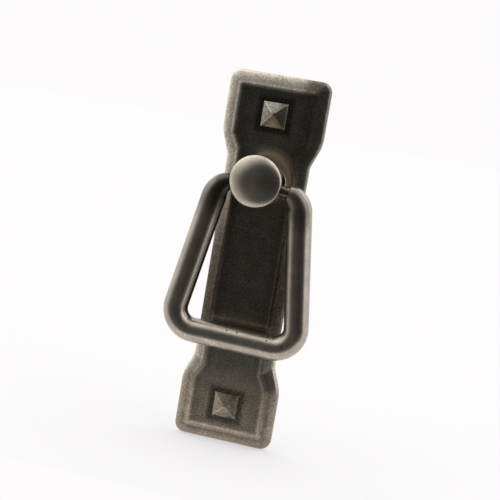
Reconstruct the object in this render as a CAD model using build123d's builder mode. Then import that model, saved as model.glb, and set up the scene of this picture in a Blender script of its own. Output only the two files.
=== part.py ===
from build123d import *
from math import asin, atan2, cos, degrees, radians, sin, tan
import os

# A drop pull for a cabinet door or drawer: a cast plate with two pyramid studs,
# a turned post that takes the screw from behind, and a bail that swings from it.
# Millimetres, +Z up, front towards -Y. The origin is on the screw's axis in the
# plane of the plate's back, so a height over the door is -Y.

# Plate, seen from the front
plate_length = 108.0
head_width = 29.25
neck_width = 24.1
shoulder_from_end = 17.7
flare_length = 6.7
corner_radius = 3.0
shoulder_radius = 10.0
waist_radius = 3.0
post_above_middle = 24.2

# Plate, front to back
panel_height = 3.8
foot_height = 1.9
foot_round = 1.3
wall = 1.7
cavity_corner_radius = 1.4

# Bevel from the foot up to the ridge round the flat panel
bevel_end = 3.8
bevel_head = 3.6
bevel_neck = 3.3
ridge_shoulder_shift = 0.1
ridge_flare_length = 4.3
ridge_corner_radius = 0.7
ridge_round = 0.5

# Pyramid studs
stud_width = 7.0
stud_foot = 0.2
stud_rise = 2.0
stud_tip = 0.5
stud_from_end = 11.3

# Post, its lengths measured from the panel that it stands on
post_diameter = 14.5
post_side_length = 11.6
post_rim_radius = 0.65
post_dome_radius = 12.2
post_bead = 0.1
post_bead_length = 0.5

# Post's spigot, swaged into the plate from behind
spigot_diameter = 9.0
spigot_clearance = 0.05
swage_width = 0.8
swage_depth = 0.8
boss_wall = 3.5

# Cross hole through the post, and how the bail's pins lie in it
pivot_above_panel = 7.55
cross_hole_diameter = 5.9
cross_hole_break = 0.2
pin_diameter = 3.1
pin_clearance = 0.25
pin_engagement = 3.6
pin_tip_break = 0.35

# Blind hole for a number 8-32 machine screw, at the size inside its thread
screw_hole_diameter = 3.45
screw_hole_floor = 1.0

# Bail, seen from the front, its drops measured from the pivot
rod_diameter = 7.0
bail_drop = 44.35
bail_lean = 9.25
bail_inner_radius = 2.55
arm_top_drop = 5.0
horn_reach = 3.95
horn_end_gap = 0.35
horn_end_below_pivot = 0.75
horn_end_droop = 6.0
horn_end_diameter = 4.3
horn_end_break = 0.3
horn_bend_pull = 2.1
horn_swell = 0.7
horn_steps = 5

# The bail sits loose: slid to one side and a little askew
bail_side_play = 0.75
bail_askew = 1.0


def front_plane(height):
    """The plane at a height over the door, its x to the right and its y up."""
    return Plane.XZ.offset(height)


plate_half = plate_length / 2
plate_middle = -post_above_middle


def waisted_outline(head_half, neck_half, end_inset, shoulder_inset, flare, radii):
    """A closed outline with two wide heads and a narrow neck, insets from the plate's ends."""
    shoulder = plate_half - shoulder_inset
    right = [(head_half, plate_half - end_inset), (head_half, shoulder), (neck_half, shoulder - flare)]
    right += [(x, -z) for x, z in reversed(right)]
    left = [(-x, z) for x, z in reversed(right)]
    corners = [(x, z + plate_middle) for x, z in right + left]
    half_radii = list(radii) + list(reversed(radii))
    return FilletPolyline(*corners, radius=half_radii + half_radii, close=True)


def foot_outline(inset, end_radius):
    """The plate's outer edge, moved inwards."""
    head_half = head_width / 2 - inset
    neck_half = neck_width / 2 - inset
    radii = (end_radius, shoulder_radius, waist_radius)
    return waisted_outline(head_half, neck_half, inset, shoulder_from_end, flare_length, radii)


def ridge_outline(inset):
    """The edge of the flat panel, moved inwards."""
    head_half = head_width / 2 - bevel_head - inset
    neck_half = neck_width / 2 - bevel_neck - inset
    shoulder_inset = shoulder_from_end + ridge_shoulder_shift
    radii = (ridge_corner_radius, ridge_corner_radius, ridge_corner_radius)
    end_inset = bevel_end + inset
    return waisted_outline(head_half, neck_half, end_inset, shoulder_inset, ridge_flare_length, radii)


# The cavity behind is a wall's thickness in from the side, the bevel and the panel
bevel_slope = atan2(panel_height - foot_height, bevel_head)
cavity_height = panel_height - wall
cavity_inset = wall * tan(bevel_slope / 2)

stud_middle = plate_half - stud_from_end
spigot_hole_radius = spigot_diameter / 2 + spigot_clearance

with BuildPart() as backplate:
    with BuildSketch(front_plane(0)):
        with BuildLine():
            foot_outline(0, corner_radius)
        make_face()
    extrude(amount=foot_height)
    with BuildSketch(front_plane(foot_height)):
        with BuildLine():
            foot_outline(0, corner_radius)
        make_face()
    with BuildSketch(front_plane(panel_height)):
        with BuildLine():
            ridge_outline(0)
        make_face()
    loft(ruled=True)
    panel = backplate.faces().sort_by(Axis.Y)[0]
    fillet(panel.edges(), ridge_round)
    foot_edges = backplate.edges().filter_by_position(Axis.Y, -foot_height, -foot_height)
    fillet(foot_edges, foot_round)
    with BuildSketch(front_plane(0)):
        with BuildLine():
            foot_outline(wall, cavity_corner_radius)
        make_face()
    with BuildSketch(front_plane(cavity_height)):
        with BuildLine():
            ridge_outline(cavity_inset)
        make_face()
    loft(ruled=True, mode=Mode.SUBTRACT)
    with BuildSketch(front_plane(0)):
        Circle(spigot_hole_radius + boss_wall)
    extrude(amount=panel_height - wall / 2)
    for stud_z in (plate_middle + stud_middle, plate_middle - stud_middle):
        with BuildSketch(front_plane(panel_height)):
            with Locations((0, stud_z)):
                Rectangle(stud_width, stud_width)
        extrude(amount=stud_foot)
        with BuildSketch(front_plane(panel_height + stud_foot)):
            with Locations((0, stud_z)):
                Rectangle(stud_width, stud_width)
        with BuildSketch(front_plane(panel_height + stud_foot + stud_rise)):
            with Locations((0, stud_z)):
                Rectangle(stud_tip, stud_tip)
        loft(ruled=True)
    with BuildSketch(front_plane(0)):
        Circle(spigot_hole_radius)
    extrude(amount=panel_height, mode=Mode.SUBTRACT)
    with BuildSketch(front_plane(0)):
        Circle(spigot_hole_radius + swage_width)
    with BuildSketch(front_plane(swage_depth)):
        Circle(spigot_hole_radius)
    loft(mode=Mode.SUBTRACT)

backplate.part.label = "backplate"

# The post is turned from a profile of radius and height over the door
post_radius = post_diameter / 2
spigot_radius = spigot_diameter / 2
bead_radius = post_radius + post_bead
bead_top = panel_height + post_bead_length
side_top = panel_height + post_side_length

# The face is the cap of a sphere that runs smoothly into the rim's small radius
rim_middle = post_radius - post_rim_radius
dome_tilt = asin(rim_middle / (post_dome_radius - post_rim_radius))
dome_centre = side_top - (post_dome_radius - post_rim_radius) * cos(dome_tilt)
face_middle = dome_centre + post_dome_radius
rim_turn = 90 - degrees(dome_tilt)

pivot_height = panel_height + pivot_above_panel
screw_hole_depth = pivot_height - cross_hole_diameter / 2 - screw_hole_floor

with BuildPart() as post:
    with BuildSketch(Plane.XY):
        with BuildLine():
            Polyline(
                (0, -face_middle),
                (0, 0),
                (spigot_radius + swage_width, 0),
                (spigot_radius, -swage_depth),
                (spigot_radius, -panel_height),
                (bead_radius, -panel_height),
                (bead_radius, -bead_top),
                (post_radius, -bead_top - post_bead),
                (post_radius, -side_top),
            )
            CenterArc((rim_middle, -side_top), post_rim_radius, -rim_turn, rim_turn)
            CenterArc((0, -dome_centre), post_dome_radius, -90, 90 - rim_turn)
        make_face()
    revolve(axis=Axis.Y)
    with BuildSketch(Plane.YZ.offset(-post_diameter)):
        with Locations((-pivot_height, 0)):
            Circle(cross_hole_diameter / 2)
    extrude(amount=2 * post_diameter, mode=Mode.SUBTRACT)
    mouths = post.edges(Select.LAST).filter_by(GeomType.LINE, reverse=True)
    fillet(mouths, cross_hole_break)
    with BuildSketch(front_plane(0)):
        Circle(screw_hole_diameter / 2)
    extrude(amount=screw_hole_depth, mode=Mode.SUBTRACT)

post.part.label = "post"

rod_radius = rod_diameter / 2
horn_end_radius = horn_end_diameter / 2
lean = radians(bail_lean)
droop = radians(horn_end_droop)
askew = radians(bail_askew)

# Half widths of the bail, from the horns' end faces down to the bar
pin_mouth_half = post_radius + bail_side_play
horn_end_half = pin_mouth_half + horn_end_gap
horn_pull_half = horn_end_half + horn_bend_pull * cos(droop)
arm_top_half = horn_end_half + horn_reach
arm_pull_half = arm_top_half - horn_bend_pull * sin(lean)
bail_bottom_half = arm_top_half + (bail_drop - arm_top_drop) * tan(lean)

# The pins leave the end faces squarely, so they rise towards their tips.
# They cross the pivot axis midway along the stretch that lies in the post.
pin_length = (pin_diameter / 2 + horn_end_gap + pin_engagement) / cos(droop)
pin_root_half = horn_end_half + pin_diameter / 2
pin_cross_half = pin_mouth_half - pin_engagement / 2
pin_sag = pin_engagement / 2 * tan(droop)
pin_half_height = pin_diameter / 2 / cos(droop)
pivot_below_post = cross_hole_diameter / 2 - pin_half_height - pin_sag - pin_clearance

# The bail is drawn in its own plane: x to the right, y up, from the middle of its pivot
bail_plane = Plane(
    origin=(bail_side_play, -pivot_height, -pivot_below_post),
    x_dir=(cos(askew), 0, -sin(askew)),
    z_dir=(0, -1, 0),
)

with BuildPart() as bail:
    with BuildLine(bail_plane) as rod_line:
        FilletPolyline(
            (-arm_top_half, -arm_top_drop),
            (-bail_bottom_half, -bail_drop),
            (bail_bottom_half, -bail_drop),
            (arm_top_half, -arm_top_drop),
            radius=bail_inner_radius + rod_radius,
        )
    with BuildSketch(Plane(rod_line.line ^ 0)):
        Circle(rod_radius)
    sweep()
    for side in (-1, 1):
        with BuildLine(bail_plane) as horn:
            Bezier(
                (side * horn_end_half, -horn_end_below_pivot),
                (side * horn_pull_half, -horn_end_below_pivot - horn_bend_pull * sin(droop)),
                (side * arm_pull_half, -arm_top_drop + horn_bend_pull * cos(lean)),
                (side * arm_top_half, -arm_top_drop),
            )
        for step in range(horn_steps + 1):
            share = step / horn_steps
            with BuildSketch(Plane(origin=horn.line @ share, z_dir=horn.line % share)):
                Circle(horn_end_radius + (rod_radius - horn_end_radius) * share**horn_swell)
        loft()
        horn_end = bail.faces().filter_by(GeomType.PLANE).sort_by_distance(horn.line @ 0)[0]
        fillet(horn_end.edges(), horn_end_break)
        outwards = horn.line % 0
        crossing = bail_plane.from_local_coords((side * pin_cross_half, 0, 0))
        pin_root = crossing + outwards * ((pin_root_half - pin_cross_half) / cos(droop))
        with BuildSketch(Plane(origin=pin_root, z_dir=-outwards)):
            Circle(pin_diameter / 2)
        extrude(amount=pin_length)
        pin_tip = bail.faces(Select.LAST).filter_by(GeomType.PLANE).sort_by_distance(Vector())[0]
        chamfer(pin_tip.edges(), pin_tip_break)

bail.part.label = "bail"

os.makedirs("parts", exist_ok=True)
for piece in (backplate, post, bail):
    export_step(piece.part, f"parts/{piece.part.label}.step")
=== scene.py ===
from math import asin, atan2, cos, pi, radians, sin, tan
import bmesh
import bpy
from mathutils import Matrix, Quaternion, Vector
from mathutils.bvhtree import BVHTree
from mathutils.geometry import intersect_point_line
from mathutils.kdtree import KDTree


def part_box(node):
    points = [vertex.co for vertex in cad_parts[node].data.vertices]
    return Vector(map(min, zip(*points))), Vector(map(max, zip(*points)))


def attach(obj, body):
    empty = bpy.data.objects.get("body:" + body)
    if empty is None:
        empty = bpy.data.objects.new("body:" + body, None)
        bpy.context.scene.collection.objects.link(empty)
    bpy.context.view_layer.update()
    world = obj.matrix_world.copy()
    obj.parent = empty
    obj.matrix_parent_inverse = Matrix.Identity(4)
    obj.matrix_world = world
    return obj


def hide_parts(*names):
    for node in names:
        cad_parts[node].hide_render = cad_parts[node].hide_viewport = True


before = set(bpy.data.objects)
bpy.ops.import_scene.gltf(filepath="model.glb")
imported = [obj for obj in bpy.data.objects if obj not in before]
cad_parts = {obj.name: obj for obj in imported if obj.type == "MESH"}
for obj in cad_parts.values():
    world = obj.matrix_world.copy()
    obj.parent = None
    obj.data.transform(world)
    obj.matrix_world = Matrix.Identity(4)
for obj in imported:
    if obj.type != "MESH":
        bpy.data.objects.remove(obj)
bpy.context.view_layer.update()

# A drop pull for a cabinet door: a cast plate with two pyramid studs, a turned post and a
# bail that swings from it, all in an antique pewter finish.
# Each piece is modelled in millimetres on the bench, face up: x to the right, y up the
# plate, z off the door. Standing it up brings it into the frame, in metres.
MM = 0.001
upright = Matrix.Scale(MM, 4) @ Matrix.Rotation(radians(90), 4, "X")
tiny = 1e-4
sharp_angle = radians(42)

plate_low, plate_high = (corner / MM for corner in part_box("backplate"))
post_low, post_high = (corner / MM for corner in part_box("post"))

# Plate, seen from the front
plate_half = (plate_high.z - plate_low.z) / 2
plate_middle = (plate_high.z + plate_low.z) / 2
head_half = (plate_high.x - plate_low.x) / 2
neck_half = 12.05
shoulder_from_end = 17.7
flare_length = 6.7
foot_radii = (3.0, 10.0, 3.0)

# Plate, front to back
panel_height = 3.8
foot_height = 1.9
foot_round = 0.78
wall = 1.7
cavity_radii = (1.4, 10.0, 3.0)
cast_fillet = 0.35
back_edge_round = 0.2

# Bevel from the foot up to the ridge round the flat panel
slope_cuts = 5
bevel_end = 3.8
bevel_head = 3.6
bevel_neck = 3.3
ridge_shoulder_shift = 0.1
ridge_flare_length = 4.3
ridge_radii = (0.7, 0.7, 0.7)
ridge_round = 0.42
panel_insets = (0.8, 1.6, 2.8)

# Pyramid studs
stud_width = 7.0
stud_foot = 0.2
stud_rise = 2.0
stud_tip = 0.5
stud_from_end = 11.3
stud_edge = 0.22
stud_middle = plate_half - stud_from_end

# Post: the bead at its foot, its side, its rim, its domed face and the cross hole
post_facets = 128
face_middle = -post_low.y
bead_radius = post_high.x
bead_step = 0.1
bead_softening = 0.03
bead_top = panel_height + 0.5
post_radius = bead_radius - bead_step
side_foot = bead_top + 0.1
side_top = panel_height + 11.6
rim_radius = 0.65
dome_radius = 12.2
pivot_height = 11.35
cross_hole_radius = 2.95
cross_hole_break = 0.2

# Spigot, swaged over behind the plate, where the tool leaves a groove of this radius and depth
spigot_hole_radius = 4.55
spigot_radius = 4.5
swage_width = 0.8
swage_depth = 0.8
swage_groove = ((3.3, 0), (3.5, 0.15), (3.9, 0.15), (4.1, 0))
boss_wall = 3.5

# Screw hole, and its thread's groove: radius, and height as a share of the pitch
screw_hole_radius = 1.725
screw_hole_depth = 7.4
thread_radius = 2.083
thread_pitch = 25.4 / 32
thread_depth = 6.6
thread_groove = ((1.55, -0.42), (thread_radius, -0.06), (thread_radius, 0.06), (1.55, 0.42))

# Bail, seen from the front, from the middle of its pivot
rod_radius = 3.5
bail_drop = 44.35
bail_lean = radians(9.25)
inner_radius = 2.55
arm_top_drop = 5.0
horn_reach = 3.95
horn_end_gap = 0.35
horn_end_drop = 0.75
horn_droop = radians(6.0)
horn_end_radius = 2.15
horn_end_round = 0.3
horn_pull = 2.1
horn_swell = 0.7
pin_radius = 1.55
pin_engagement = 3.6
pin_tip_break = 0.35
side_play = 0.75
horn_end_half = post_radius + side_play + horn_end_gap
askew = radians(1.0)
pivot_drop = 0.952

# Wear, from black with patina to rubbed bare: the darkening inside the arms reaches further round on the
# right, and a painted reflection of the bar is a light line on the plate just above it
black = 0.0
bright = 1.0
dark_reach_right = 1.1
dark_reach_left = 0.88
reflection_line_rise = 0.3
reflection_line_drop = bail_drop + pivot_drop - rod_radius - reflection_line_rise

# Casting pits in the bail and one in the post's face: x, y, length, width, turn, seen from the front
bail_pits = (
    (-1.3, -42.75, 0.5, 0.4, 20),
    (1.6, -42.75, 0.55, 0.45, -30),
    (8.9, -42.45, 0.9, 0.4, -8),
    (10.5, -42.45, 1.1, 0.42, -15),
    (11.9, -42.2, 0.5, 0.4, 0),
    (10.4, -43.2, 0.5, 0.4, 40),
    (15.0, -44.0, 1.9, 0.42, 74),
)
post_pits = ((0.55, 1.0, 0.45, 0.38, 30),)
pit_depth = 0.22
pit_mark = 0.05


def bevel_edges(mesh, edges, width, segments):
    """Rounds edges to a width on each side."""
    bmesh.ops.bevel(
        mesh, geom=edges, offset=width, offset_type="OFFSET", segments=segments,
        profile=0.5, affect="EDGES", material=-1, clamp_overlap=True,
    )


def waisted(half_head, half_neck, end, shoulder, waist):
    """The twelve corners of a plate with two wide heads and a narrow neck."""
    right = [(half_head, end), (half_head, shoulder), (half_neck, waist)]
    right += [(x, -y) for x, y in reversed(right)]
    left = [(-x, y) for x, y in reversed(right)]
    return [Vector((x, y + plate_middle)) for x, y in right + left]


def foot_corners(inset):
    """The plate's outer edge, moved inwards."""
    shoulder = plate_half - shoulder_from_end
    return waisted(head_half - inset, neck_half - inset, plate_half - inset, shoulder,
                   shoulder - flare_length)


def ridge_corners(inset, parallel=False):
    """The edge of the flat panel, moved inwards; parallel keeps the flares as far away too."""
    half_head = head_half - bevel_head - inset
    half_neck = neck_half - bevel_neck - inset
    shoulder = plate_half - shoulder_from_end - ridge_shoulder_shift
    if parallel:
        shoulder += inset * tan(atan2(half_head - half_neck, ridge_flare_length) / 2)
    return waisted(half_head, half_neck, plate_half - bevel_end - inset, shoulder,
                   shoulder - ridge_flare_length)


def outline(mesh, corners, radii, height, segments=6):
    """A closed ring of edges through the corners, each kind of corner rounded to its radius."""
    before = set(mesh.edges)
    verts = [mesh.verts.new((corner.x, corner.y, height)) for corner in corners]
    mesh.faces.new(verts)
    flare_turn = atan2(corners[1].x - corners[2].x, corners[1].y - corners[2].y)
    for kind, (radius, turn) in enumerate(zip(radii, (pi / 2, flare_turn, flare_turn))):
        # Each kind comes four times, mirrored to the other end and the other side
        alike = [verts[i] for i in (kind, 5 - kind, 6 + kind, 11 - kind)]
        bmesh.ops.bevel(
            mesh, geom=alike, offset=radius * tan(turn / 2), offset_type="OFFSET", segments=segments,
            profile=0.5, affect="VERTICES", material=-1, clamp_overlap=False,
        )
    ring = [edge for edge in mesh.edges if edge not in before]
    bmesh.ops.delete(mesh, geom=list({face for edge in ring for face in edge.link_faces}),
                     context="FACES_ONLY")
    return ring


def circle(mesh, radius, height, segments=64, middle=(0, 0)):
    """A closed ring of edges round a middle."""
    before = set(mesh.edges)
    bmesh.ops.create_circle(mesh, cap_ends=False, radius=radius, segments=segments,
                            matrix=Matrix.Translation((middle[0], middle[1], height)))
    return [edge for edge in mesh.edges if edge not in before]


def extrude_ring(mesh, ring, change):
    """Extrudes a ring of edges, moves its far end by a matrix and gives that end."""
    made = bmesh.ops.extrude_edge_only(mesh, edges=ring)["geom"]
    verts = [item for item in made if isinstance(item, bmesh.types.BMVert)]
    edges = [item for item in made if isinstance(item, bmesh.types.BMEdge)]
    bmesh.ops.transform(mesh, matrix=change, verts=verts)
    return [edge for edge in edges if all(vert in verts for vert in edge.verts)]


def raise_ring(mesh, ring, rise, scale=1.0, middle=(0, 0)):
    """Extrudes a ring of edges upwards and scales its far end about the middle."""
    about = Matrix.Translation((middle[0], middle[1], 0))
    change = Matrix.Translation((0, 0, rise)) @ about @ Matrix.Diagonal((scale, scale, 1, 1))
    return extrude_ring(mesh, ring, change @ about.inverted())


def mirror_half(mesh):
    """Adds the other half of a mesh, to the left of x = 0."""
    half = list(mesh.verts) + list(mesh.edges) + list(mesh.faces)
    bmesh.ops.mirror(mesh, geom=half, matrix=Matrix.Identity(4), merge_dist=tiny, axis="X")


def bridge_flat(mesh, outer, inner):
    """Bridges two rings in one plane; the inner one is lifted meanwhile, so that none is turned over."""
    verts = list({vert for edge in inner for vert in edge.verts})
    bmesh.ops.translate(mesh, vec=(0, 0, 1), verts=verts)
    bmesh.ops.bridge_loops(mesh, edges=outer + inner)
    bmesh.ops.translate(mesh, vec=(0, 0, -1), verts=verts)


def show(mesh, name):
    """Puts a finished mesh into the scene as an object."""
    data = bpy.data.meshes.new(name)
    mesh.to_mesh(data)
    mesh.free()
    made = bpy.data.objects.new(name, data)
    bpy.context.scene.collection.objects.link(made)
    return made


def carve(mesh, cutter):
    """Takes the cutter out of a closed mesh."""
    pair = []
    for shape in (mesh, cutter):
        bmesh.ops.remove_doubles(shape, verts=shape.verts, dist=tiny)
        bmesh.ops.recalc_face_normals(shape, faces=shape.faces)
        pair.append(show(shape, "carving"))
    body, tool = pair
    step = body.modifiers.new("carving", "BOOLEAN")
    step.object = tool
    step.operation = "DIFFERENCE"
    step.solver = "EXACT"
    graph = bpy.context.evaluated_depsgraph_get()
    carved = bmesh.new()
    carved.from_mesh(body.evaluated_get(graph).to_mesh())
    for made in pair:
        bpy.data.objects.remove(made)
    return carved


def pits(mesh, places):
    """Shallow hollows in the surface that faces the front: a cutter that is sunk in to a depth."""
    skin = BVHTree.FromBMesh(mesh)
    cutter = bmesh.new()
    for x, y, length, width, turn in places:
        spot, normal, _, _ = skin.ray_cast(Vector((x, y, 2 * face_middle)), Vector((0, 0, -1)))
        stand = Matrix.Translation(spot) @ normal.to_track_quat("Z", "Y").to_matrix().to_4x4()
        spread = Matrix.Rotation(radians(turn), 4, "Z") @ Matrix.Diagonal((length, width, 2 * pit_depth, 1))
        bmesh.ops.create_icosphere(cutter, subdivisions=3, radius=0.5, matrix=stand @ spread)
    return cutter


def piece(mesh, name, body, material):
    """Stands a finished mesh up in the frame, as the piece that shows for a CAD node."""
    bmesh.ops.remove_doubles(mesh, verts=mesh.verts, dist=tiny)
    bmesh.ops.recalc_face_normals(mesh, faces=mesh.faces)
    bmesh.ops.transform(mesh, matrix=upright, verts=mesh.verts)
    made = show(mesh, name)
    made.data.shade_smooth()
    made.data.set_sharp_from_angle(angle=sharp_angle)
    made.data.materials.append(material)
    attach(made, body)
    return made


def mark_ridge(mesh):
    """
    Writes on each vertex how far it is from the ridge, in millimetres, less than 0 on the bevel,
    and whether it lies in the hollow behind.
    """
    layer = mesh.verts.layers.float.new("from_ridge")
    hollow = mesh.verts.layers.float.new("hollow")
    under_panel = panel_height - wall + 0.3
    within_walls = wall - bevel_end - 0.5
    ridge = ridge_corners(0)
    legs = list(zip(ridge, ridge[1:] + ridge[:1]))
    for vert in mesh.verts:
        spot = vert.co.to_2d()
        nearest = None
        for start, end in legs:
            share = intersect_point_line(spot, start, end)[1]
            gap = (spot - start.lerp(end, min(max(share, 0), 1))).length
            if nearest is None or gap < nearest - tiny:
                nearest = gap
                # The corners run clockwise, so the panel lies to the right of each leg
                on_panel = (end - start).cross(spot - start) < 0
        vert[layer] = nearest if on_panel else -nearest
        vert[hollow] = vert.co.z < under_panel and vert[layer] > within_walls


def cast_plate():
    """The backplate: a waisted tray with studs on its face and a boss in its hollow back."""
    mesh = bmesh.new()
    rim = outline(mesh, foot_corners(0), foot_radii, 0)
    foot = outline(mesh, foot_corners(0), foot_radii, foot_height)
    ridge = outline(mesh, ridge_corners(0), ridge_radii, panel_height)
    bmesh.ops.bridge_loops(mesh, edges=rim + foot)
    slope = bmesh.ops.bridge_loops(mesh, edges=foot + ridge)["faces"]
    rungs = {edge for face in slope for edge in face.edges} - set(foot) - set(ridge)
    bmesh.ops.subdivide_edges(mesh, edges=list(rungs), cuts=slope_cuts)
    inner = ridge
    for inset in panel_insets:
        outer, inner = inner, outline(mesh, ridge_corners(inset, True), ridge_radii, panel_height)
        bridge_flat(mesh, outer, inner)
    stud_places = [(0, plate_middle + side * stud_middle) for side in (1, -1)]
    squares = [circle(mesh, stud_width / 2**0.5, panel_height, 4, place) for place in stud_places]
    for place, square in zip(stud_places, squares):
        corners = list({vert for edge in square for vert in edge.verts})
        bmesh.ops.rotate(mesh, cent=(*place, 0), matrix=Matrix.Rotation(pi / 4, 3, "Z"), verts=corners)
    hole = circle(mesh, spigot_hole_radius, panel_height)
    bmesh.ops.triangle_fill(mesh, use_beauty=True, edges=inner + squares[0] + squares[1] + hole)
    for place, square in zip(stud_places, squares):
        top = raise_ring(mesh, square, stud_foot)
        tip = raise_ring(mesh, top, stud_rise, stud_tip / stud_width, place)
        bmesh.ops.contextual_create(mesh, geom=tip)
        hips = [edge for vert in {v for edge in tip for v in edge.verts} for edge in vert.link_edges]
        bevel_edges(mesh, list(set(hips + top)), stud_edge, 3)
    # Behind: the countersink, the boss round it, and the hollow with room for its fillets
    swage_radius = spigot_hole_radius + swage_width
    boss_radius = spigot_hole_radius + boss_wall
    fillet_room = 2 * cast_fillet
    back = raise_ring(mesh, hole, swage_depth - panel_height)
    back = raise_ring(mesh, back, -swage_depth, swage_radius / spigot_hole_radius)
    boss_edge = raise_ring(mesh, back, 0, boss_radius / swage_radius)
    boss_root = raise_ring(mesh, boss_edge, panel_height - wall)
    floor = raise_ring(mesh, boss_root, 0, (boss_radius + fillet_room) / boss_radius)
    bevel_slope = atan2(panel_height - foot_height, bevel_head)
    inset = wall * tan(bevel_slope / 2)
    mouth = outline(mesh, foot_corners(wall), cavity_radii, 0)
    ceiling = outline(mesh, ridge_corners(inset), ridge_radii, panel_height - wall)
    inside = outline(mesh, ridge_corners(inset + fillet_room, True), ridge_radii, panel_height - wall)
    bridge_flat(mesh, rim, mouth)
    bmesh.ops.bridge_loops(mesh, edges=mouth + ceiling)
    bridge_flat(mesh, ceiling, inside)
    bmesh.ops.triangle_fill(mesh, use_beauty=True, edges=inside + floor)
    for edges, width, segments in (
        (foot, foot_round, 6), (ridge, ridge_round, 5), (mouth, back_edge_round, 2),
        (ceiling, cast_fillet, 3), (boss_root, cast_fillet, 3), (boss_edge, back_edge_round, 2),
    ):
        bevel_edges(mesh, [edge for edge in edges if edge.is_valid], width, segments)
    mark_ridge(mesh)
    return mesh


def arc(centre, radius, start, end, steps):
    """Points of radius and height along an arc, without its first one."""
    angles = [start + (end - start) * step / steps for step in range(1, steps + 1)]
    return [(centre[0] + radius * cos(angle), centre[1] + radius * sin(angle)) for angle in angles]


def spun(profile, steps):
    """Turns a line of points of radius and height into a round body."""
    mesh = bmesh.new()
    verts = [mesh.verts.new((radius, 0, height)) for radius, height in profile]
    edges = [mesh.edges.new(pair) for pair in zip(verts, verts[1:])]
    bmesh.ops.spin(mesh, geom=verts + edges, cent=(0, 0, 0), axis=(0, 0, 1), dvec=(0, 0, 0),
                   angle=2 * pi, steps=steps, use_merge=True)
    return mesh


def turned_post():
    """The post: spigot, bead with a softened step, straight side, rounded rim and a domed face."""
    rim_middle = post_radius - rim_radius
    dome_tilt = asin(rim_middle / (dome_radius - rim_radius))
    side_steps = 12
    rim_steps = 6
    dome_steps = 14
    profile = [
        (0, screw_hole_depth),
        (screw_hole_radius, screw_hole_depth),
        (screw_hole_radius, 0),
        *swage_groove,
        (spigot_radius + swage_width, 0),
        (spigot_radius, swage_depth),
        (spigot_radius, panel_height),
        (bead_radius, panel_height),
        (bead_radius, bead_top - 0.2),
        (bead_radius - bead_softening, bead_top - 0.08),
        (post_radius + bead_softening, bead_top + 0.02),
    ]
    profile += [(post_radius, side_foot + (side_top - side_foot) * step / side_steps)
                for step in range(side_steps + 1)]
    profile += arc((rim_middle, side_top), rim_radius, 0, pi / 2 - dome_tilt, rim_steps)
    profile += arc((0, face_middle - dome_radius), dome_radius, pi / 2 - dome_tilt, pi / 2, dome_steps)
    return spun(profile, post_facets)


def cross_drill():
    """What the cross drill, and a file round its two mouths, take out of the post."""
    mesh = bmesh.new()
    middle = Vector((0, 0, pivot_height))
    stand = Matrix.Translation(middle) @ Matrix.Rotation(pi / 2, 4, "Y")
    bmesh.ops.create_circle(mesh, cap_ends=False, radius=cross_hole_radius, segments=72, matrix=stand)
    ring = list(mesh.edges)
    # A quarter round at the mouth, then straight out, well clear of the post
    rings = [(1 - cos(turn), 1 - sin(turn)) for turn in (0, pi / 6, pi / 3, pi / 2)]
    clear_of_post = (1, -5)
    for wider, deeper in rings + [clear_of_post]:
        radius = cross_hole_radius + cross_hole_break * wider
        ring = raise_ring(mesh, ring, 0)
        for vert in {vert for edge in ring for vert in edge.verts}:
            vert.co.x = 0
            vert.co = middle + (vert.co - middle).normalized() * radius
            vert.co.x = (post_radius**2 - vert.co.y**2) ** 0.5 - cross_hole_break * deeper
    bmesh.ops.contextual_create(mesh, geom=ring)
    mirror_half(mesh)
    return mesh


def tap():
    """The thread that a number 8-32 tap cuts: a groove of V section that winds up the hole."""
    steps_a_turn = 32
    turns = int(thread_depth / thread_pitch)
    mesh = bmesh.new()
    verts = [mesh.verts.new((radius, 0, share * thread_pitch)) for radius, share in thread_groove]
    edges = [mesh.edges.new((verts[i], verts[i - 1])) for i in range(len(verts))]
    made = bmesh.ops.spin(mesh, geom=verts + edges, cent=(0, 0, 0), axis=(0, 0, 1),
                          dvec=(0, 0, thread_pitch / steps_a_turn), angle=2 * pi * turns,
                          steps=steps_a_turn * turns, use_merge=False)
    last = [item for item in made["geom_last"] if isinstance(item, bmesh.types.BMEdge)]
    bmesh.ops.contextual_create(mesh, geom=edges)
    bmesh.ops.contextual_create(mesh, geom=last)
    return mesh


def station(place, heading, radius):
    """Where a ring of the rod stands: its middle, the way it faces in the bail's plane, its radius."""
    turn = Matrix.Rotation(heading, 4, "Z") @ Matrix.Rotation(pi / 2, 4, "Y")
    return Matrix.Translation((place[0], place[1], 0)) @ turn @ Matrix.Scale(radius, 4)


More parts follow.
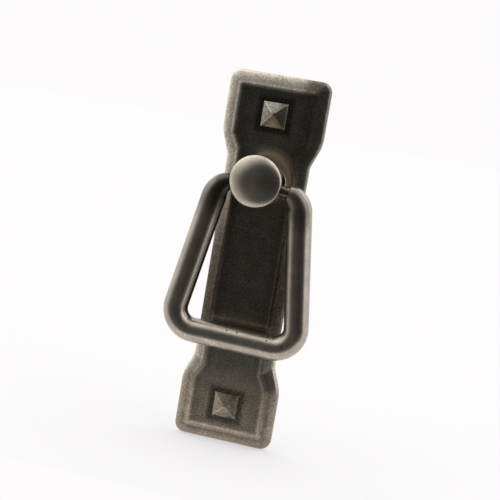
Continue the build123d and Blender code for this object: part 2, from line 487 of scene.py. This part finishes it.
def horn_stations():
    """The horn's rings from the arm's top to its end face, then the pin's down to its tip."""
    top = Vector((horn_end_half + horn_reach, -arm_top_drop))
    end = Vector((horn_end_half, -horn_end_drop))
    up_arm = Vector((-sin(bail_lean), cos(bail_lean)))
    inwards = Vector((-cos(horn_droop), sin(horn_droop)))
    # A cubic curve bends the arm's line over to the pin's, and the rod thins along it
    points = (top, top + up_arm * horn_pull, end - inwards * horn_pull, end)
    legs = [b - a for a, b in zip(points, points[1:])]
    stations = []
    steps = 20
    for step in range(1, steps + 1):
        t = step / steps
        weights = ((1 - t) ** 3, 3 * t * (1 - t) ** 2, 3 * t * t * (1 - t), t**3)
        place = sum((p * w for p, w in zip(points, weights)), Vector((0, 0)))
        along = legs[0] * (1 - t) ** 2 + legs[1] * 2 * t * (1 - t) + legs[2] * t * t
        radius = horn_end_radius + (rod_radius - horn_end_radius) * (1 - t) ** horn_swell
        stations.append((place, atan2(along.y, along.x), radius))
    heading = atan2(inwards.y, inwards.x)
    place, _, radius = stations.pop()
    for turn in (0, 30, 60, 90):
        back = horn_end_round * (1 - sin(radians(turn)))
        drawn_in = horn_end_round * (1 - cos(radians(turn)))
        stations.append((place - inwards * back, heading, radius - drawn_in))
    pin_length = (horn_end_gap + pin_engagement) / cos(horn_droop)
    pin = ((0, pin_radius), (pin_length - pin_tip_break, pin_radius),
           (pin_length, pin_radius - pin_tip_break))
    stations += [(place + inwards * reach, heading, size) for reach, size in pin]
    return stations


def mark_inward(mesh, stations):
    """Writes on each vertex how far it lies inside the bail's arms or in a pit: 1 inside, -1 outside."""
    layer = mesh.verts.layers.float.new("inward")
    tree = KDTree(len(stations))
    for number, (place, _, _) in enumerate(stations):
        tree.insert((place[0], place[1], 0), number)
    tree.balance()
    for vert in mesh.verts:
        spot = Vector((abs(vert.co.x), vert.co.y, 0))
        place, heading, radius = stations[tree.find(spot)[1]]
        left = Vector((-sin(heading), cos(heading)))
        off = (spot.to_2d() - Vector(place)).dot(left)
        in_pit = radius == rod_radius and (off**2 + vert.co.z**2) ** 0.5 < radius - pit_mark
        # The darkening inside the arms reaches further round on the right than on the left
        dark_reach = dark_reach_right if vert.co.x > 0 else dark_reach_left
        vert[layer] = 1 if in_pit else off / radius * abs(left.x) * dark_reach


def cast_bail():
    """The bail: half of its bar, a corner, an arm, a horn and a pin, then the mirror image."""
    rod_facets = 96
    top_half = horn_end_half + horn_reach
    bottom_half = top_half + (bail_drop - arm_top_drop) * tan(bail_lean)
    corner_radius = inner_radius + rod_radius
    corner_turn = pi / 2 + bail_lean
    corner_start = bottom_half - corner_radius * tan(corner_turn / 2)
    corner_centre = Vector((corner_start, -bail_drop + corner_radius, 0))
    mesh = bmesh.new()
    now = station((0, -bail_drop), 0, rod_radius)
    bmesh.ops.create_circle(mesh, cap_ends=False, radius=1, segments=rod_facets, matrix=now)
    ring = list(mesh.edges)
    bar_steps = 8
    corner_steps = 24
    arm_steps = 20
    stations = [((corner_start * step / bar_steps, -bail_drop), 0, rod_radius)
                for step in range(bar_steps + 1)]
    for step in range(1, corner_steps + 1):
        turn = corner_turn * step / corner_steps
        out = Vector((sin(turn), -cos(turn), 0)) * corner_radius
        stations.append(((corner_centre + out).to_2d(), turn, rod_radius))
    arm_foot = Vector(stations[-1][0])
    arm_top = Vector((top_half, -arm_top_drop))
    stations += [(arm_foot.lerp(arm_top, step / arm_steps), corner_turn, rod_radius)
                 for step in range(1, arm_steps + 1)]
    stations += horn_stations()
    for place, heading, radius in stations[1:]:
        new = station(place, heading, radius)
        ring = extrude_ring(mesh, ring, new @ now.inverted())
        now = new
    bmesh.ops.contextual_create(mesh, geom=ring)
    mirror_half(mesh)
    # The pits' places are given on the hanging bail, but its wear is measured from its own middle
    hang = Matrix.Translation((side_play, -pivot_drop, pivot_height)) @ Matrix.Rotation(-askew, 4, "Z")
    bmesh.ops.transform(mesh, matrix=hang, verts=mesh.verts)
    mesh = carve(mesh, pits(mesh, bail_pits))
    bmesh.ops.transform(mesh, matrix=hang.inverted(), verts=mesh.verts)
    mark_inward(mesh, stations)
    bmesh.ops.transform(mesh, matrix=hang, verts=mesh.verts)
    return mesh


def linear(code):
    """A colour given as an sRGB hex value, turned to linear."""
    parts = [int(code[i:i + 2], 16) / 255 for i in (1, 3, 5)]
    return tuple(c / 12.92 if c <= 0.04045 else ((c + 0.055) / 1.055) ** 2.4 for c in parts) + (1,)


def add(tree, kind, settings=(), links=()):
    """
    Adds a node with its settings, a ramp's stops among them, and what feeds its sockets. Sockets
    that share a name go by number: a mix's share is 0, its two values 2 and 3, its colours 6 and 7.
    """
    node = tree.nodes.new(kind)
    for name, value in dict(settings).items():
        if name == "stops":
            ramp = node.color_ramp.elements
            while len(ramp) < len(value):
                ramp.new(0.5)
            for stop, (at, code) in zip(ramp, value):
                stop.position = at
                stop.color = linear(code) if isinstance(code, str) else (code, code, code, 1)
        elif isinstance(name, int) or name in node.inputs:
            node.inputs[name].default_value = value
        else:
            setattr(node, name, value)
    for socket, source in dict(links).items():
        tree.links.new(source, node.inputs[socket])
    return node


def plate_wear_and_light(tree, place):
    """
    How bare the plate is: bright on the ridge, the rim and the studs' hips, where a rag rubs, and black
    beside the ridge, where the patina settles, and round the studs, where patina and painted shade darken
    it;
    and how brown. Painted shade darkens it behind the bail, on the right bevel above the neck, on the
    studs' right faces and at the lower end; a painted sheen lightens the panel below the bar, and it
    carries painted reflections of the bar and the post and a painted highlight round the bead.
    """
    half_stud = stud_width / 2
    stud_seam = 0.02
    ridge_span = 5.0
    from_ridge = add(tree, "ShaderNodeAttribute", {"attribute_name": "from_ridge"}).outputs["Fac"]
    along = add(tree, "ShaderNodeMapRange", {"From Min": -ridge_span, "From Max": ridge_span},
                {"Value": from_ridge})
    # How bare it is at each distance from the ridge, from the foot in to the panel's middle
    stops = (
        (-5, 0.95), (-3.0, 1.0), (-2.4, 0.92), (-1.7, 0.76), (-1.1, 0.64), (-0.7, 0.76), (-0.4, 0.9),
        (-0.1, 1.0), (0.2, 1.0), (0.75, 0.42), (1.5, 0.3), (4, 0.42),
    )
    tray = add(tree, "ShaderNodeValToRGB", {
        "stops": [((at + ridge_span) / (2 * ridge_span), bare) for at, bare in stops],
    }, {0: along.outputs[0]}).outputs["Color"]
    # The two studs lie alike above and below the plate's middle, so one fold finds both
    centred = add(tree, "ShaderNodeVectorMath", {"operation": "ADD", 1: (0, 0, -plate_middle)}, {0: place})
    folded = add(tree, "ShaderNodeVectorMath", {"operation": "ABSOLUTE"}, {0: centred.outputs[0]})
    moved = add(tree, "ShaderNodeVectorMath", {"operation": "SUBTRACT", 1: (0, 0, stud_middle)},
                {0: folded.outputs[0]})
    from_stud = add(tree, "ShaderNodeVectorMath", {"operation": "ABSOLUTE"}, {0: moved.outputs[0]})
    parts = add(tree, "ShaderNodeSeparateXYZ", links={0: from_stud.outputs[0]}).outputs
    square = add(tree, "ShaderNodeMath", {"operation": "MAXIMUM"}, {0: parts["X"], 1: parts["Z"]})
    slant = add(tree, "ShaderNodeMath", {"operation": "SUBTRACT"}, {0: parts["X"], 1: parts["Z"]})
    from_hip = add(tree, "ShaderNodeMath", {"operation": "ABSOLUTE"}, {0: slant.outputs[0]})
    # How far a spot is from the post's axis, to its upper right, and from the painted reflection line above
    # the bar
    across = add(tree, "ShaderNodeVectorMath", {"operation": "MULTIPLY", 1: (1, 0, 1)}, {0: place})
    from_axis = add(tree, "ShaderNodeVectorMath", {"operation": "LENGTH"}, {0: across.outputs[0]})
    above_right = add(tree, "ShaderNodeVectorMath", {"operation": "DOT_PRODUCT", 1: (0.8, 0, 0.6)},
                      {0: place})
    sides = add(tree, "ShaderNodeSeparateXYZ", links={0: place}).outputs
    over_reflection_line = add(tree, "ShaderNodeMath", {"operation": "ADD", 1: reflection_line_drop}, {0: sides["Z"]})
    from_reflection_line = add(tree, "ShaderNodeMath", {"operation": "ABSOLUTE"}, {0: over_reflection_line.outputs[0]})
    # Each band: what is measured, in millimetres, where it starts and is full, and its values there
    band = {}
    for name, measure, start, end, low, high in (
        ("bevel", from_ridge, 0.5, 0.1, 0, 1),
        ("panel", from_ridge, 0.1, 0.5, 0, 1),
        ("beside the ridge", from_ridge, 1.2, 0.7, 0, 1),
        ("broad ridge", from_ridge, 1.6, 0.5, 0, 2),
        # Painted shade on the right above the neck, on the bevel behind the bail and at the lower end
        ("above the neck", sides["Z"], -14, -2, 0.2, 1),
        ("below the post", sides["Z"], 5, -30, 0, 0.75),
        ("above the bar", sides["Z"], -50, -44, 0, 1),
        ("below the bar", sides["Z"], -45, -49, 0, 0.16),
        ("lower end", sides["Z"], -56, -63, 0, 0.25),
        # A painted reflection of the bar: a light, brown line on the plate along the bar's upper edge
        ("bar's reflection", from_reflection_line.outputs[0], 0.6, 0.1, 0, 0.22),
        ("right side", sides["X"], 6, 9.5, 0, 0.55),
        ("above right", above_right.outputs["Value"], 0, 5, 0, 1),
        # A painted reflection of the post on the plate to its upper right, and a painted highlight round
        # its bead
        ("post's foot", from_axis.outputs["Value"], 11, post_radius, 0, 0.6),
        ("round the bead", from_axis.outputs["Value"], bead_radius + 0.7, bead_radius + 0.4, 0, 0.5),
        # Patina, with painted shade, darkens the plate round the studs' feet
        ("halo", square.outputs[0], half_stud + 0.8, half_stud + 2.4, 0.88, 0),
        ("stud face", from_hip.outputs[0], 0.05, 0.45, 0.9, 0.62),
        # Painted shade on the studs' right faces
        ("stud's right", sides["X"], 0.3, 2.6, 0, 0.27),
    ):
        band[name] = add(tree, "ShaderNodeMapRange", {
            "interpolation_type": "SMOOTHSTEP", "From Min": start, "From Max": end,
            "To Min": low, "To Max": high,
        }, {"Value": measure}).outputs[0]
    # Where two bands cross
    for name, first, second in (
        ("behind the bail", "below the post", "above the bar"),
        ("shaded bevel", "behind the bail", "bevel"),
        ("upper right side", "right side", "above the neck"),
        ("shaded right bevel", "upper right side", "beside the ridge"),
        # A painted sheen on the panel and its ridge below the bar
        ("lower panel", "below the bar", "panel"),
        ("lower ridge", "lower panel", "broad ridge"),
        ("post's reflection", "post's foot", "above right"),
        ("bead's highlight", "round the bead", "above right"),
    ):
        band[name] = add(tree, "ShaderNodeMath", {"operation": "MULTIPLY"},
                         {0: band[first], 1: band[second]}).outputs[0]
    # First what is lightened: painted sheen below the bar, painted reflections of the bar and the post and
    # a painted highlight round the bead; then what is darkened: painted shade behind the bail, on the right
    # bevel and at the lower end, and patina with painted shade round the studs
    for name in ("lower panel", "lower ridge", "bar's reflection", "post's reflection", "bead's highlight"):
        tray = add(tree, "ShaderNodeMath", {"operation": "ADD"}, {0: tray, 1: band[name]}).outputs[0]
    for name in ("shaded bevel", "shaded right bevel", "lower end", "halo"):
        tray = add(tree, "ShaderNodeMix", {3: black}, {0: band[name], 2: tray}).outputs[0]
    on_stud = add(tree, "ShaderNodeMath", {"operation": "LESS_THAN", 1: half_stud + stud_seam},
                  {0: square.outputs[0]})
    stud = add(tree, "ShaderNodeMath", {"operation": "SUBTRACT"},
               {0: band["stud face"], 1: band["stud's right"]})
    bare = add(tree, "ShaderNodeMix",
               links={0: on_stud.outputs[0], 2: tray, 3: stud.outputs[0]}).outputs[0]
    # Browner in the painted reflections of the post and the bar, in the painted shade behind the bail and
    # at the lower end
    brown = band["post's reflection"]
    for name, share in (("shaded bevel", 0.45), ("lower end", 1.5), ("bar's reflection", 1.5)):
        brown = add(tree, "ShaderNodeMath", {"operation": "MULTIPLY_ADD", 1: share},
                    {0: band[name], 2: brown}).outputs[0]
    # The hollow back was blackened with the rest, but never rubbed
    hollow = add(tree, "ShaderNodeAttribute", {"attribute_name": "hollow"}).outputs["Fac"]
    hollow_bare = 0.3
    hollow_brown = 0.1
    bare = add(tree, "ShaderNodeMix", {3: hollow_bare}, {0: hollow, 2: bare}).outputs[0]
    brown = add(tree, "ShaderNodeMix", {3: hollow_brown}, {0: hollow, 2: brown}).outputs[0]
    return bare, brown


def post_wear(tree, place):
    """
    How bare the post is: brightest round the face's rim, darker at the lower left of its foot and
    black in the cross hole; and how brown: along the side, in front of the plate.
    """
    bore_seam = 0.03
    across = add(tree, "ShaderNodeVectorMath", {"operation": "MULTIPLY", 1: (1, 0, 1)}, {0: place})
    from_axis = add(tree, "ShaderNodeVectorMath", {"operation": "LENGTH"}, {0: across.outputs[0]})
    moved = add(tree, "ShaderNodeVectorMath", {"operation": "ADD", 1: (0, pivot_height, 0)}, {0: place})
    along = add(tree, "ShaderNodeVectorMath", {"operation": "MULTIPLY", 1: (0, 1, 1)},
                {0: moved.outputs[0]})
    from_bore = add(tree, "ShaderNodeVectorMath", {"operation": "LENGTH"}, {0: along.outputs[0]})
    in_bore = add(tree, "ShaderNodeMath", {"operation": "LESS_THAN", 1: cross_hole_radius + bore_seam},
                  {0: from_bore.outputs["Value"]})
    above_right = add(tree, "ShaderNodeVectorMath", {"operation": "DOT_PRODUCT", 1: (0.6, 0, 0.8)},
                      {0: place})
    height = add(tree, "ShaderNodeSeparateXYZ", links={0: place}).outputs["Y"]
    band = {}
    for name, measure, start, end, low, high in (
        ("rubbed", from_axis.outputs["Value"], 5.6, post_radius - 0.3, 0.85, 0.92),
        ("side", height, -side_top, 1 - side_top, 0, 0.4),
        ("outside", height, -panel_height + 0.2, -panel_height, 0, 1),
        ("foot", height, -bead_top - 0.5, -bead_top, 0, 0.8),
        ("lower left", above_right.outputs["Value"], 6, 0, 0, 1),
    ):
        band[name] = add(tree, "ShaderNodeMapRange", {
            "interpolation_type": "SMOOTHSTEP", "From Min": start, "From Max": end,
            "To Min": low, "To Max": high,
        }, {"Value": measure}).outputs[0]
    darker_foot = add(tree, "ShaderNodeMath", {"operation": "MULTIPLY"},
                  {0: band["foot"], 1: band["lower left"]})
    brown = add(tree, "ShaderNodeMath", {"operation": "MULTIPLY"}, {0: band["side"], 1: band["outside"]})
    bare = band["rubbed"]
    for share in (in_bore.outputs[0], darker_foot.outputs[0]):
        bare = add(tree, "ShaderNodeMix", {3: black}, {0: share, 2: bare}).outputs[0]
    return bare, brown.outputs[0]


def bail_wear_and_light(tree, place):
    """
    How bare the bail is: fingers keep it bright, patina stays in its pits, and it is darker round the
    inner sides of its arms, where it is also a little brown. Painted shade blackens its pins, its left
    horn and the fronts of its horns and arms, and painted light brightens the bar's underside.
    """
    inward = add(tree, "ShaderNodeAttribute", {"attribute_name": "inward"}).outputs["Fac"]
    parts = add(tree, "ShaderNodeSeparateXYZ", links={0: place}).outputs
    moved = add(tree, "ShaderNodeMath", {"operation": "SUBTRACT", 1: side_play}, {0: parts["X"]})
    sideways = add(tree, "ShaderNodeMath", {"operation": "ABSOLUTE"}, {0: moved.outputs[0]})
    band = {}
    for name, measure, start, end, low, high in (
        ("rubbed", inward, 0.62, 0.92, 0.84, 0.08),
        ("inside the horns", sideways.outputs[0], horn_end_half, horn_end_half - 0.1, 0, 0.6),
        ("right of the left arm", parts["X"], -13, -10, 0, 0.7),
        ("left of the post", parts["X"], 0, -2, 0, 1),
        ("horns", parts["Z"], -14, -6, 0, 1),
        ("front", parts["Y"], -12.5, -13.5, 0, 0.45),
        ("arms", parts["Z"], -44, -34, 0, 1),
        ("foremost", parts["Y"], -13.8, -14.6, 0, 0.13),
        ("under the bar", parts["Z"], -43, -46, 0, 0.25),
    ):
        band[name] = add(tree, "ShaderNodeMapRange", {
            "interpolation_type": "SMOOTHSTEP", "From Min": start, "From Max": end,
            "To Min": low, "To Max": high,
        }, {"Value": measure}).outputs[0]
    for name, first, second in (
        ("near the post", "right of the left arm", "left of the post"),
        ("left horn", "near the post", "horns"),
        ("horns' fronts", "horns", "front"),
        ("arms' fronts", "arms", "foremost"),
        ("pins", "inside the horns", "horns"),
    ):
        band[name] = add(tree, "ShaderNodeMath", {"operation": "MULTIPLY"},
                         {0: band[first], 1: band[second]}).outputs[0]
    # Painted shade blackens the pins between the horns and the post, the left horn by the post and the
    # fronts of the horns and arms; fingers pull at the bar's underside, which painted light brightens
    # further
    bare = band["rubbed"]
    for name, level in (
        ("pins", black), ("left horn", black), ("horns' fronts", black), ("arms' fronts", black),
        ("under the bar", bright),
    ):
        bare = add(tree, "ShaderNodeMix", {3: level}, {0: band[name], 2: bare}).outputs[0]
    brown = add(tree, "ShaderNodeMapRange", {"From Min": 0.6, "To Max": 0.2}, {"Value": inward})
    return bare, brown.outputs[0]


def antique_pewter(name, wear_and_light, grain_share, smoothest):
    """
    Pewter plated on cast zinc, blackened with a patina and rubbed back: a satin, slightly warm
    grey that turns to black in the grain and the corners, smoother where it is rubbed. The map of
    bareness it is given also carries painted shade, painted highlights and painted reflections.
    """
    material = bpy.data.materials.new(name)
    material.use_nodes = True
    tree = material.node_tree
    shader = tree.nodes["Principled BSDF"]
    shader.inputs["Metallic"].default_value = 1
    spot = add(tree, "ShaderNodeTexCoord").outputs["Object"]
    place = add(tree, "ShaderNodeVectorMath", {"operation": "SCALE", "Scale": 1 / MM}, {0: spot}).outputs[0]
    # The casting's grain holds patina in spots of half a millimetre, and the rag's strokes leave
    # clouds some millimetres wide
    grain_size = 0.55
    grain_depth = 0.02 * MM
    cloud_size = 3.5
    cloud_share = 0.3
    grain = add(tree, "ShaderNodeTexNoise", {"Scale": 1 / grain_size, "Detail": 3, "Roughness": 0.6},
                {"Vector": place}).outputs[0]
    cloud = add(tree, "ShaderNodeTexNoise", {"Scale": 1 / cloud_size, "Detail": 2},
                {"Vector": place}).outputs[0]
    # How bare and how brown: rubbing and patina, with painted shade and painted light among them
    rubbed, brown = wear_and_light(tree, place)
    level = add(tree, "ShaderNodeMath", {"operation": "MULTIPLY_ADD", 1: grain_share},
                {0: grain, 2: rubbed})
    level = add(tree, "ShaderNodeMath", {"operation": "MULTIPLY_ADD", 1: cloud_share},
                {0: cloud, 2: level.outputs[0]})
    bare = add(tree, "ShaderNodeMath", {
        "operation": "SUBTRACT", 1: (grain_share + cloud_share) / 2, "use_clamp": True,
    }, {0: level.outputs[0]}).outputs[0]
    colour = add(tree, "ShaderNodeValToRGB", {"stops": (
        (0.0, "#3e3b36"), (0.25, "#5c5952"), (0.5, "#7d776e"), (0.75, "#a29a8e"), (0.9, "#b5ac9e"),
        (1.0, "#d4cab9"),
    )}, {0: bare})
    # A thin film of oxide turns the grey to a golden brown
    oxide = add(tree, "ShaderNodeMix", {
        "data_type": "RGBA", "blend_type": "MULTIPLY", 7: linear("#ffeecf"),
    }, {0: brown, 6: colour.outputs[0]})
    # Patina is rougher than rubbed metal, and the oxide dulls both
    patina_roughness = 0.36
    oxide_roughness = 0.22
    satin = add(tree, "ShaderNodeMapRange", {"To Min": patina_roughness, "To Max": smoothest},
                {"Value": bare})
    gloss = add(tree, "ShaderNodeMath", {"operation": "MULTIPLY_ADD", 1: oxide_roughness},
                {0: brown, 2: satin.outputs[0]})
    bump = add(tree, "ShaderNodeBump", {"Strength": 0.25, "Distance": grain_depth}, {"Height": grain})
    tree.links.new(oxide.outputs[2], shader.inputs["Base Color"])
    tree.links.new(gloss.outputs[0], shader.inputs["Roughness"])
    tree.links.new(bump.outputs[0], shader.inputs["Normal"])
    return material


plate_finish = antique_pewter("plate_pewter", plate_wear_and_light, 1.0, 0.27)
post_finish = antique_pewter("post_pewter", post_wear, 0.2, 0.19)
bail_finish = antique_pewter("bail_pewter", bail_wear_and_light, 0.35, 0.27)

plate = piece(cast_plate(), "cast_backplate", "plate", plate_finish)
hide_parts("backplate")
post_mesh = carve(carve(turned_post(), cross_drill()), tap())
post_mesh = carve(post_mesh, pits(post_mesh, post_pits))
bmesh.ops.dissolve_degenerate(post_mesh, dist=tiny, edges=post_mesh.edges)
post = piece(post_mesh, "turned_post", "plate", post_finish)
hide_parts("post")
bail = piece(cast_bail(), "cast_bail", "bail", bail_finish)
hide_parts("bail")


def light_tent():
    """A white tent, brightest high up at both sides, whose open front looks into a dark room."""
    world = bpy.data.worlds.new("light_tent")
    bpy.context.scene.world = world
    world.use_nodes = True
    tree = world.node_tree
    way = add(tree, "ShaderNodeTexCoord").outputs["Generated"]
    parts = add(tree, "ShaderNodeSeparateXYZ", links={0: way}).outputs
    sideways = add(tree, "ShaderNodeMath", {"operation": "ABSOLUTE"}, {0: parts["X"]}).outputs[0]
    # The opening leans back: the higher up, the further to the front the white reaches
    lean = 0.35
    upwards = add(tree, "ShaderNodeMath", {"operation": "MAXIMUM", 1: 0}, {0: parts["Z"]}).outputs[0]
    covered = add(tree, "ShaderNodeMath", {"operation": "MULTIPLY_ADD", 1: lean},
                  {0: upwards, 2: parts["Y"]}).outputs[0]
    # The cloth thins out far to the front on the left and ends sharply on the right
    edge = add(tree, "ShaderNodeMapRange", {
        "From Min": -0.7, "From Max": 0.5, "To Min": -0.83, "To Max": -0.35,
    }, {"Value": parts["X"]}).outputs[0]
    full = add(tree, "ShaderNodeMapRange", {
        "From Min": 0, "From Max": 0.5, "To Min": 0.04, "To Max": -0.28,
    }, {"Value": parts["X"]}).outputs[0]
    # The cloth behind the object is further from the lamps
    back = add(tree, "ShaderNodeMapRange", {
        "From Min": 0.2, "From Max": 0.7, "To Min": 1, "To Max": 0.74,
    }, {"Value": parts["Y"]}).outputs[0]
    cloth = add(tree, "ShaderNodeMapRange", {"interpolation_type": "SMOOTHSTEP"},
                {"Value": covered, "From Min": edge, "From Max": full, "To Max": back}).outputs[0]
    # The lamps shine through it high up at both sides
    lamp_strength = 1.5
    lamps = add(tree, "ShaderNodeMath", {"operation": "MULTIPLY"}, {0: sideways, 1: upwards}).outputs[0]
    lamplight = add(tree, "ShaderNodeMath", {"operation": "MULTIPLY_ADD", 1: lamp_strength, 2: 1},
                    {0: lamps}).outputs[0]
    # The room is darker on the right, and its floor shines a little
    room = add(tree, "ShaderNodeMapRange", {
        "From Min": -0.2, "From Max": 0.4, "To Min": 0.1, "To Max": 0.05,
    }, {"Value": parts["X"]}).outputs[0]
    floor = add(tree, "ShaderNodeMapRange", {
        "From Min": -0.2, "From Max": -0.7, "To Min": 0, "To Max": 0.05,
    }, {"Value": parts["Z"]}).outputs[0]
    dark = add(tree, "ShaderNodeMath", {"operation": "ADD"}, {0: room, 1: floor}).outputs[0]
    light = add(tree, "ShaderNodeMath", {"operation": "MULTIPLY_ADD"}, {0: cloth, 1: lamplight, 2: dark})
    # Behind the object the tent shows as an even white
    seen = add(tree, "ShaderNodeLightPath").outputs["Is Camera Ray"]
    tint = add(tree, "ShaderNodeMix", {"data_type": "RGBA", 7: linear("#fdfbfc")},
               {0: seen, 6: light.outputs[0]})
    background = tree.nodes["Background"]
    tree.links.new(tint.outputs[2], background.inputs["Color"])


def table():
    """The plain pale table that the plate's lower end stands on; its front edge is near."""
    half_size = 2
    middle_behind_plate = 1.946
    gap_under_plate = 0.0002
    top = plate_low.z * MM - gap_under_plate
    mesh = bmesh.new()
    bmesh.ops.create_grid(mesh, x_segments=1, y_segments=1, size=half_size)
    bmesh.ops.translate(mesh, vec=(0, middle_behind_plate, top), verts=mesh.verts)
    made = show(mesh, "table")
    # Matt paper that glows a little, to be as pale as the tent
    paper = bpy.data.materials.new("pale_paper")
    paper.use_nodes = True
    shader = paper.node_tree.nodes["Principled BSDF"]
    shader.inputs["Base Color"].default_value = linear("#a9a8a8")
    shader.inputs["Roughness"].default_value = 0.9
    shader.inputs["Specular IOR Level"].default_value = 0
    shader.inputs["Emission Color"].default_value = linear("#fdfbfc")
    shader.inputs["Emission Strength"].default_value = 0.54
    made.data.materials.append(paper)


def camera():
    """The photograph's view: from the right and a little above, rolled to the left."""
    data = bpy.data.cameras.new("camera")
    made = bpy.data.objects.new("camera", data)
    bpy.context.scene.collection.objects.link(made)
    made.location = (0.05742, -0.30979, 0.02135)
    aim = Vector((0, 0, plate_middle * MM)) - made.location
    roll = Quaternion((0, 0, 1), radians(9.63))
    made.rotation_mode = "QUATERNION"
    made.rotation_quaternion = aim.to_track_quat("-Z", "Y") @ roll
    data.lens = 78.9
    data.sensor_width = 36
    data.shift_x = -0.0040
    data.shift_y = 0.0233
    data.clip_start = 0.01
    data.clip_end = 50
    bpy.context.scene.camera = made


light_tent()
table()
camera()
bpy.context.scene.view_settings.view_transform = "Standard"
